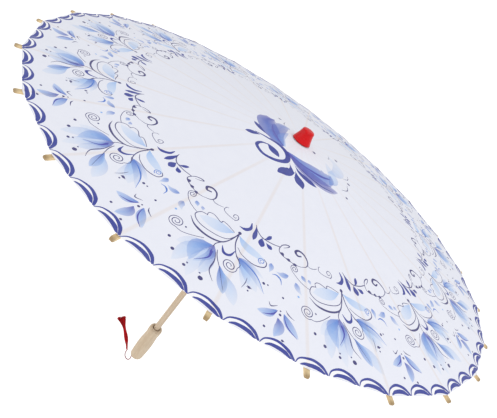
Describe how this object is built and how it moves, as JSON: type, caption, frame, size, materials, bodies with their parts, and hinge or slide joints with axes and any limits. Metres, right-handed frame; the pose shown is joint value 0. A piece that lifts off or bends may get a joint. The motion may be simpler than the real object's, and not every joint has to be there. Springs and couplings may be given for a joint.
{
  "type": "oil paper umbrella",
  "caption": "Shallow paper umbrella on a folding frame of bamboo ribs and stretchers, with a sliding runner, turned grip and tassel.",
  "frame": {"origin": "middle of the turned grip, on the shaft's axis, where the hand holds it", "axes": "+Z along the shaft from the grip to the cap; rib_01 points along +X and the ribs are numbered anticlockwise seen from above"},
  "size_m": [0.8664, 0.8664, 0.6678],
  "materials": {
    "shaft_wood": "sanded pale wood",
    "grip_wood": "turned and sanded",
    "hub_wood": "turned and sanded",
    "threading_wire": "drawn wire",
    "nail_steel": "bright nail",
    "red_lacquer": "glossy",
    "oiled_paper": "oiled, with a satin sheen",
    "catch_steel": "sprung steel",
    "tassel_silk": "twisted silk",
    "rib_bamboo": "split bamboo",
    "stretcher_bamboo": "split bamboo"
  },
  "bodies": {
    "shaft": {"shaft": "shaft_wood", "handle": "grip_wood", "top_hub": "hub_wood", "hub_wire": "threading_wire", "hub_nail": "nail_steel", "cap": "red_lacquer", "canopy": "oiled_paper", "tassel_cord": "tassel_silk"},
    "rib_01": {"rib_01": "rib_bamboo"},
    "rib_02": {"rib_02": "rib_bamboo"},
    "rib_03": {"rib_03": "rib_bamboo"},
    "rib_04": {"rib_04": "rib_bamboo"},
    "rib_05": {"rib_05": "rib_bamboo"},
    "rib_06": {"rib_06": "rib_bamboo"},
    "rib_07": {"rib_07": "rib_bamboo"},
    "rib_08": {"rib_08": "rib_bamboo"},
    "rib_09": {"rib_09": "rib_bamboo"},
    "rib_10": {"rib_10": "rib_bamboo"},
    "rib_11": {"rib_11": "rib_bamboo"},
    "rib_12": {"rib_12": "rib_bamboo"},
    "rib_13": {"rib_13": "rib_bamboo"},
    "rib_14": {"rib_14": "rib_bamboo"},
    "rib_15": {"rib_15": "rib_bamboo"},
    "rib_16": {"rib_16": "rib_bamboo"},
    "rib_17": {"rib_17": "rib_bamboo"},
    "rib_18": {"rib_18": "rib_bamboo"},
    "rib_19": {"rib_19": "rib_bamboo"},
    "rib_20": {"rib_20": "rib_bamboo"},
    "rib_21": {"rib_21": "rib_bamboo"},
    "rib_22": {"rib_22": "rib_bamboo"},
    "rib_23": {"rib_23": "rib_bamboo"},
    "rib_24": {"rib_24": "rib_bamboo"},
    "stretcher_01": {"stretcher_01": "stretcher_bamboo"},
    "stretcher_02": {"stretcher_02": "stretcher_bamboo"},
    "stretcher_03": {"stretcher_03": "stretcher_bamboo"},
    "stretcher_04": {"stretcher_04": "stretcher_bamboo"},
    "stretcher_05": {"stretcher_05": "stretcher_bamboo"},
    "stretcher_06": {"stretcher_06": "stretcher_bamboo"},
    "stretcher_07": {"stretcher_07": "stretcher_bamboo"},
    "stretcher_08": {"stretcher_08": "stretcher_bamboo"},
    "stretcher_09": {"stretcher_09": "stretcher_bamboo"},
    "stretcher_10": {"stretcher_10": "stretcher_bamboo"},
    "stretcher_11": {"stretcher_11": "stretcher_bamboo"},
    "stretcher_12": {"stretcher_12": "stretcher_bamboo"},
    "stretcher_13": {"stretcher_13": "stretcher_bamboo"},
    "stretcher_14": {"stretcher_14": "stretcher_bamboo"},
    "stretcher_15": {"stretcher_15": "stretcher_bamboo"},
    "stretcher_16": {"stretcher_16": "stretcher_bamboo"},
    "stretcher_17": {"stretcher_17": "stretcher_bamboo"},
    "stretcher_18": {"stretcher_18": "stretcher_bamboo"},
    "stretcher_19": {"stretcher_19": "stretcher_bamboo"},
    "stretcher_20": {"stretcher_20": "stretcher_bamboo"},
    "stretcher_21": {"stretcher_21": "stretcher_bamboo"},
    "stretcher_22": {"stretcher_22": "stretcher_bamboo"},
    "stretcher_23": {"stretcher_23": "stretcher_bamboo"},
    "stretcher_24": {"stretcher_24": "stretcher_bamboo"},
    "runner": {"runner": "hub_wood", "runner_wire": "threading_wire"},
    "latch": {"latch_spring": "catch_steel"},
    "tassel": {"tassel": "tassel_silk"}
  },
  "joints": [
    {"name": "canopy_fold", "type": "hinge", "parent": "shaft", "child": "rib_01", "pos_m": [0.018, 0, 0.57], "axis": [0, 1, 0], "range_deg": [0, 80], "deforming": ["canopy", "latch_spring"]},
    {"name": "rib_02_fold", "type": "hinge", "parent": "shaft", "child": "rib_02", "pos_m": [0.01739, 0.00466, 0.57], "axis": [-0.2588, 0.9659, 0], "range_deg": [0, 80]},
    {"name": "rib_03_fold", "type": "hinge", "parent": "shaft", "child": "rib_03", "pos_m": [0.01559, 0.009, 0.57], "axis": [-0.5, 0.866, 0], "range_deg": [0, 80]},
    {"name": "rib_04_fold", "type": "hinge", "parent": "shaft", "child": "rib_04", "pos_m": [0.01273, 0.01273, 0.57], "axis": [-0.7071, 0.7071, 0], "range_deg": [0, 80]},
    {"name": "rib_05_fold", "type": "hinge", "parent": "shaft", "child": "rib_05", "pos_m": [0.009, 0.01559, 0.57], "axis": [-0.866, 0.5, 0], "range_deg": [0, 80]},
    {"name": "rib_06_fold", "type": "hinge", "parent": "shaft", "child": "rib_06", "pos_m": [0.00466, 0.01739, 0.57], "axis": [-0.9659, 0.2588, 0], "range_deg": [0, 80]},
    {"name": "rib_07_fold", "type": "hinge", "parent": "shaft", "child": "rib_07", "pos_m": [0, 0.018, 0.57], "axis": [-1, 0, 0], "range_deg": [0, 80]},
    {"name": "rib_08_fold", "type": "hinge", "parent": "shaft", "child": "rib_08", "pos_m": [-0.00466, 0.01739, 0.57], "axis": [-0.9659, -0.2588, 0], "range_deg": [0, 80]},
    {"name": "rib_09_fold", "type": "hinge", "parent": "shaft", "child": "rib_09", "pos_m": [-0.009, 0.01559, 0.57], "axis": [-0.866, -0.5, 0], "range_deg": [0, 80]},
    {"name": "rib_10_fold", "type": "hinge", "parent": "shaft", "child": "rib_10", "pos_m": [-0.01273, 0.01273, 0.57], "axis": [-0.7071, -0.7071, 0], "range_deg": [0, 80]},
    {"name": "rib_11_fold", "type": "hinge", "parent": "shaft", "child": "rib_11", "pos_m": [-0.01559, 0.009, 0.57], "axis": [-0.5, -0.866, 0], "range_deg": [0, 80]},
    {"name": "rib_12_fold", "type": "hinge", "parent": "shaft", "child": "rib_12", "pos_m": [-0.01739, 0.00466, 0.57], "axis": [-0.2588, -0.9659, 0], "range_deg": [0, 80]},
    {"name": "rib_13_fold", "type": "hinge", "parent": "shaft", "child": "rib_13", "pos_m": [-0.018, 0, 0.57], "axis": [0, -1, 0], "range_deg": [0, 80]},
    {"name": "rib_14_fold", "type": "hinge", "parent": "shaft", "child": "rib_14", "pos_m": [-0.01739, -0.00466, 0.57], "axis": [0.2588, -0.9659, 0], "range_deg": [0, 80]},
    {"name": "rib_15_fold", "type": "hinge", "parent": "shaft", "child": "rib_15", "pos_m": [-0.01559, -0.009, 0.57], "axis": [0.5, -0.866, 0], "range_deg": [0, 80]},
    {"name": "rib_16_fold", "type": "hinge", "parent": "shaft", "child": "rib_16", "pos_m": [-0.01273, -0.01273, 0.57], "axis": [0.7071, -0.7071, 0], "range_deg": [0, 80]},
    {"name": "rib_17_fold", "type": "hinge", "parent": "shaft", "child": "rib_17", "pos_m": [-0.009, -0.01559, 0.57], "axis": [0.866, -0.5, 0], "range_deg": [0, 80]},
    {"name": "rib_18_fold", "type": "hinge", "parent": "shaft", "child": "rib_18", "pos_m": [-0.00466, -0.01739, 0.57], "axis": [0.9659, -0.2588, 0], "range_deg": [0, 80]},
    {"name": "rib_19_fold", "type": "hinge", "parent": "shaft", "child": "rib_19", "pos_m": [0, -0.018, 0.57], "axis": [1, 0, 0], "range_deg": [0, 80]},
    {"name": "rib_20_fold", "type": "hinge", "parent": "shaft", "child": "rib_20", "pos_m": [0.00466, -0.01739, 0.57], "axis": [0.9659, 0.2588, 0], "range_deg": [0, 80]},
    {"name": "rib_21_fold", "type": "hinge", "parent": "shaft", "child": "rib_21", "pos_m": [0.009, -0.01559, 0.57], "axis": [0.866, 0.5, 0], "range_deg": [0, 80]},
    {"name": "rib_22_fold", "type": "hinge", "parent": "shaft", "child": "rib_22", "pos_m": [0.01273, -0.01273, 0.57], "axis": [0.7071, 0.7071, 0], "range_deg": [0, 80]},
    {"name": "rib_23_fold", "type": "hinge", "parent": "shaft", "child": "rib_23", "pos_m": [0.01559, -0.009, 0.57], "axis": [0.5, 0.866, 0], "range_deg": [0, 80]},
    {"name": "rib_24_fold", "type": "hinge", "parent": "shaft", "child": "rib_24", "pos_m": [0.01739, -0.00466, 0.57], "axis": [0.2588, 0.9659, 0], "range_deg": [0, 80]},
    {"name": "stretcher_01_fold", "type": "hinge", "parent": "rib_01", "child": "stretcher_01", "pos_m": [0.21651, 0, 0.54563], "axis": [0, 1, 0], "range_deg": [-160, 0]},
    {"name": "stretcher_02_fold", "type": "hinge", "parent": "rib_02", "child": "stretcher_02", "pos_m": [0.20913, 0.05604, 0.54563], "axis": [-0.2588, 0.9659, 0], "range_deg": [-160, 0]},
    {"name": "stretcher_03_fold", "type": "hinge", "parent": "rib_03", "child": "stretcher_03", "pos_m": [0.1875, 0.10826, 0.54563], "axis": [-0.5, 0.866, 0], "range_deg": [-160, 0]},
    {"name": "stretcher_04_fold", "type": "hinge", "parent": "rib_04", "child": "stretcher_04", "pos_m": [0.1531, 0.1531, 0.54563], "axis": [-0.7071, 0.7071, 0], "range_deg": [-160, 0]},
    {"name": "stretcher_05_fold", "type": "hinge", "parent": "rib_05", "child": "stretcher_05", "pos_m": [0.10826, 0.1875, 0.54563], "axis": [-0.866, 0.5, 0], "range_deg": [-160, 0]},
    {"name": "stretcher_06_fold", "type": "hinge", "parent": "rib_06", "child": "stretcher_06", "pos_m": [0.05604, 0.20913, 0.54563], "axis": [-0.9659, 0.2588, 0], "range_deg": [-160, 0]},
    {"name": "stretcher_07_fold", "type": "hinge", "parent": "rib_07", "child": "stretcher_07", "pos_m": [0, 0.21651, 0.54563], "axis": [-1, 0, 0], "range_deg": [-160, 0]},
    {"name": "stretcher_08_fold", "type": "hinge", "parent": "rib_08", "child": "stretcher_08", "pos_m": [-0.05604, 0.20913, 0.54563], "axis": [-0.9659, -0.2588, 0], "range_deg": [-160, 0]},
    {"name": "stretcher_09_fold", "type": "hinge", "parent": "rib_09", "child": "stretcher_09", "pos_m": [-0.10826, 0.1875, 0.54563], "axis": [-0.866, -0.5, 0], "range_deg": [-160, 0]},
    {"name": "stretcher_10_fold", "type": "hinge", "parent": "rib_10", "child": "stretcher_10", "pos_m": [-0.1531, 0.1531, 0.54563], "axis": [-0.7071, -0.7071, 0], "range_deg": [-160, 0]},
    {"name": "stretcher_11_fold", "type": "hinge", "parent": "rib_11", "child": "stretcher_11", "pos_m": [-0.1875, 0.10826, 0.54563], "axis": [-0.5, -0.866, 0], "range_deg": [-160, 0]},
    {"name": "stretcher_12_fold", "type": "hinge", "parent": "rib_12", "child": "stretcher_12", "pos_m": [-0.20913, 0.05604, 0.54563], "axis": [-0.2588, -0.9659, 0], "range_deg": [-160, 0]},
    {"name": "stretcher_13_fold", "type": "hinge", "parent": "rib_13", "child": "stretcher_13", "pos_m": [-0.21651, 0, 0.54563], "axis": [0, -1, 0], "range_deg": [-160, 0]},
    {"name": "stretcher_14_fold", "type": "hinge", "parent": "rib_14", "child": "stretcher_14", "pos_m": [-0.20913, -0.05604, 0.54563], "axis": [0.2588, -0.9659, 0], "range_deg": [-160, 0]},
    {"name": "stretcher_15_fold", "type": "hinge", "parent": "rib_15", "child": "stretcher_15", "pos_m": [-0.1875, -0.10826, 0.54563], "axis": [0.5, -0.866, 0], "range_deg": [-160, 0]},
    {"name": "stretcher_16_fold", "type": "hinge", "parent": "rib_16", "child": "stretcher_16", "pos_m": [-0.1531, -0.1531, 0.54563], "axis": [0.7071, -0.7071, 0], "range_deg": [-160, 0]},
    {"name": "stretcher_17_fold", "type": "hinge", "parent": "rib_17", "child": "stretcher_17", "pos_m": [-0.10826, -0.1875, 0.54563], "axis": [0.866, -0.5, 0], "range_deg": [-160, 0]},
    {"name": "stretcher_18_fold", "type": "hinge", "parent": "rib_18", "child": "stretcher_18", "pos_m": [-0.05604, -0.20913, 0.54563], "axis": [0.9659, -0.2588, 0], "range_deg": [-160, 0]},
    {"name": "stretcher_19_fold", "type": "hinge", "parent": "rib_19", "child": "stretcher_19", "pos_m": [0, -0.21651, 0.54563], "axis": [1, 0, 0], "range_deg": [-160, 0]},
    {"name": "stretcher_20_fold", "type": "hinge", "parent": "rib_20", "child": "stretcher_20", "pos_m": [0.05604, -0.20913, 0.54563], "axis": [0.9659, 0.2588, 0], "range_deg": [-160, 0]},
    {"name": "stretcher_21_fold", "type": "hinge", "parent": "rib_21", "child": "stretcher_21", "pos_m": [0.10826, -0.1875, 0.54563], "axis": [0.866, 0.5, 0], "range_deg": [-160, 0]},
    {"name": "stretcher_22_fold", "type": "hinge", "parent": "rib_22", "child": "stretcher_22", "pos_m": [0.1531, -0.1531, 0.54563], "axis": [0.7071, 0.7071, 0], "range_deg": [-160, 0]},
    {"name": "stretcher_23_fold", "type": "hinge", "parent": "rib_23", "child": "stretcher_23", "pos_m": [0.1875, -0.10826, 0.54563], "axis": [0.5, 0.866, 0], "range_deg": [-160, 0]},
    {"name": "stretcher_24_fold", "type": "hinge", "parent": "rib_24", "child": "stretcher_24", "pos_m": [0.20913, -0.05604, 0.54563], "axis": [0.2588, 0.9659, 0], "range_deg": [-160, 0]},
    {"name": "runner_level", "type": "hinge", "parent": "stretcher_01", "child": "runner", "pos_m": [0.018, 0, 0.52125], "axis": [0, 1, 0], "range_deg": [0, 80]},
    {"name": "latch_press", "type": "hinge", "parent": "shaft", "child": "latch", "pos_m": [-0.00198, -0.00026, 0.42945], "axis": [-0.1305, 0.9914, 0], "range_deg": [0, 4.5], "stiffness_Nm_per_rad": 2},
    {"name": "tassel_swing", "type": "hinge", "parent": "shaft", "child": "tassel", "pos_m": [0.00496, -0.02225, -0.05366], "axis": [0.9796, -0.2009, 0], "range_deg": [0, 127]}
  ],
  "couplings": [
    {"joint": "rib_02_fold", "follows": "canopy_fold", "ratio": 1},
    {"joint": "rib_03_fold", "follows": "canopy_fold", "ratio": 1},
    {"joint": "rib_04_fold", "follows": "canopy_fold", "ratio": 1},
    {"joint": "rib_05_fold", "follows": "canopy_fold", "ratio": 1},
    {"joint": "rib_06_fold", "follows": "canopy_fold", "ratio": 1},
    {"joint": "rib_07_fold", "follows": "canopy_fold", "ratio": 1},
    {"joint": "rib_08_fold", "follows": "canopy_fold", "ratio": 1},
    {"joint": "rib_09_fold", "follows": "canopy_fold", "ratio": 1},
    {"joint": "rib_10_fold", "follows": "canopy_fold", "ratio": 1},
    {"joint": "rib_11_fold", "follows": "canopy_fold", "ratio": 1},
    {"joint": "rib_12_fold", "follows": "canopy_fold", "ratio": 1},
    {"joint": "rib_13_fold", "follows": "canopy_fold", "ratio": 1},
    {"joint": "rib_14_fold", "follows": "canopy_fold", "ratio": 1},
    {"joint": "rib_15_fold", "follows": "canopy_fold", "ratio": 1},
    {"joint": "rib_16_fold", "follows": "canopy_fold", "ratio": 1},
    {"joint": "rib_17_fold", "follows": "canopy_fold", "ratio": 1},
    {"joint": "rib_18_fold", "follows": "canopy_fold", "ratio": 1},
    {"joint": "rib_19_fold", "follows": "canopy_fold", "ratio": 1},
    {"joint": "rib_20_fold", "follows": "canopy_fold", "ratio": 1},
    {"joint": "rib_21_fold", "follows": "canopy_fold", "ratio": 1},
    {"joint": "rib_22_fold", "follows": "canopy_fold", "ratio": 1},
    {"joint": "rib_23_fold", "follows": "canopy_fold", "ratio": 1},
    {"joint": "rib_24_fold", "follows": "canopy_fold", "ratio": 1},
    {"joint": "stretcher_01_fold", "follows": "canopy_fold", "ratio": -2},
    {"joint": "stretcher_02_fold", "follows": "canopy_fold", "ratio": -2},
    {"joint": "stretcher_03_fold", "follows": "canopy_fold", "ratio": -2},
    {"joint": "stretcher_04_fold", "follows": "canopy_fold", "ratio": -2},
    {"joint": "stretcher_05_fold", "follows": "canopy_fold", "ratio": -2},
    {"joint": "stretcher_06_fold", "follows": "canopy_fold", "ratio": -2},
    {"joint": "stretcher_07_fold", "follows": "canopy_fold", "ratio": -2},
    {"joint": "stretcher_08_fold", "follows": "canopy_fold", "ratio": -2},
    {"joint": "stretcher_09_fold", "follows": "canopy_fold", "ratio": -2},
    {"joint": "stretcher_10_fold", "follows": "canopy_fold", "ratio": -2},
    {"joint": "stretcher_11_fold", "follows": "canopy_fold", "ratio": -2},
    {"joint": "stretcher_12_fold", "follows": "canopy_fold", "ratio": -2},
    {"joint": "stretcher_13_fold", "follows": "canopy_fold", "ratio": -2},
    {"joint": "stretcher_14_fold", "follows": "canopy_fold", "ratio": -2},
    {"joint": "stretcher_15_fold", "follows": "canopy_fold", "ratio": -2},
    {"joint": "stretcher_16_fold", "follows": "canopy_fold", "ratio": -2},
    {"joint": "stretcher_17_fold", "follows": "canopy_fold", "ratio": -2},
    {"joint": "stretcher_18_fold", "follows": "canopy_fold", "ratio": -2},
    {"joint": "stretcher_19_fold", "follows": "canopy_fold", "ratio": -2},
    {"joint": "stretcher_20_fold", "follows": "canopy_fold", "ratio": -2},
    {"joint": "stretcher_21_fold", "follows": "canopy_fold", "ratio": -2},
    {"joint": "stretcher_22_fold", "follows": "canopy_fold", "ratio": -2},
    {"joint": "stretcher_23_fold", "follows": "canopy_fold", "ratio": -2},
    {"joint": "stretcher_24_fold", "follows": "canopy_fold", "ratio": -2},
    {"joint": "runner_level", "follows": "canopy_fold", "ratio": 1}
  ]
}
